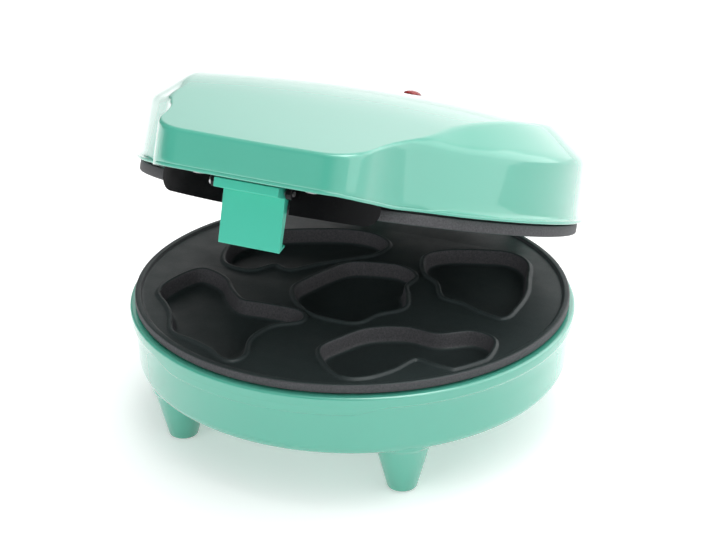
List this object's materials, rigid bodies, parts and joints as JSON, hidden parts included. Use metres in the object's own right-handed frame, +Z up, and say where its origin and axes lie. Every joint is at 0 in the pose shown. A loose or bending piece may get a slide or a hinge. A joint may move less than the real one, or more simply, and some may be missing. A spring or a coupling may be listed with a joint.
{
  "type": "countertop cookie maker",
  "caption": "Round countertop cookie maker with a hinged lid, two non-stick plates with animal-shaped moulds, a front latch, an indicator lamp and stubby legs",
  "frame": {"origin": "centre of the bounding box at the floor, under the feet, with the lid ajar", "axes": "+Z up, -Y towards the front (handle and latch), +X to the right seen from the front"},
  "size_m": [0.199, 0.2167, 0.1587],
  "materials": {
    "mint_enamel": "glossy mint-green moulded plastic",
    "mint_latch": "deeper mint-green moulded plastic, half gloss",
    "black_moulding": "glossy black heat-resistant moulding",
    "non_stick_coating": "cast aluminium with a dark grey non-stick coating",
    "aluminised_sheet": "pressed aluminised sheet",
    "heater_tube_steel": "heat-darkened steel tube",
    "zinc_plated_steel": "zinc-plated steel",
    "ceramic": "unglazed cream ceramic",
    "red_lens": "glossy red translucent lens",
    "lamp_glass": "small clear neon bulb",
    "foot_rubber": "matt black rubber",
    "glass_fibre_sleeve": "woven glass-fibre sleeve"
  },
  "bodies": {
    "base": {"base_housing": "mint_enamel", "lower_plate": "non_stick_coating", "lower_heating_element": "heater_tube_steel", "lower_reflector": "aluminised_sheet", "terminal_block": "ceramic", "cord_inlet_bushing": "black_moulding", "base_lead_left": "glass_fibre_sleeve", "base_lead_right": "glass_fibre_sleeve", "hinge_pin_left": "zinc_plated_steel", "hinge_pin_right": "zinc_plated_steel", "foot_pad_front_left": "foot_rubber", "foot_pad_front_right": "foot_rubber", "foot_pad_rear_left": "foot_rubber", "foot_pad_rear_right": "foot_rubber", "lower_plate_screw_front": "zinc_plated_steel", "lower_plate_screw_rear": "zinc_plated_steel", "lower_plate_screw_left": "zinc_plated_steel", "lower_plate_screw_right": "zinc_plated_steel"},
    "lid": {"lid_shell": "mint_enamel", "lid_liner": "black_moulding", "upper_plate": "non_stick_coating", "upper_heating_element": "heater_tube_steel", "upper_reflector": "aluminised_sheet", "thermostat": "zinc_plated_steel", "thermal_fuse": "zinc_plated_steel", "lamp_lens": "red_lens", "lamp_holder": "ceramic", "lamp_bulb": "lamp_glass", "lamp_lead": "glass_fibre_sleeve", "lid_lead_left": "glass_fibre_sleeve", "lid_lead_right": "glass_fibre_sleeve", "liner_screw_left": "zinc_plated_steel", "liner_screw_right": "zinc_plated_steel", "latch_pin": "zinc_plated_steel", "upper_plate_screw_front": "zinc_plated_steel", "upper_plate_screw_rear": "zinc_plated_steel", "upper_plate_screw_left": "zinc_plated_steel", "upper_plate_screw_right": "zinc_plated_steel"},
    "latch": {"latch": "mint_latch"}
  },
  "joints": [
    {"name": "lid_hinge", "type": "hinge", "parent": "base", "child": "lid", "pos_m": [0, 0.10145, 0.0605], "axis": [-1, 0, 0], "range_deg": [-20, 75]},
    {"name": "latch_pivot", "type": "hinge", "parent": "lid", "child": "latch", "pos_m": [0, -0.09971, 0.13819], "axis": [-1, 0, 0], "range_deg": [-1, 14]}
  ]
}
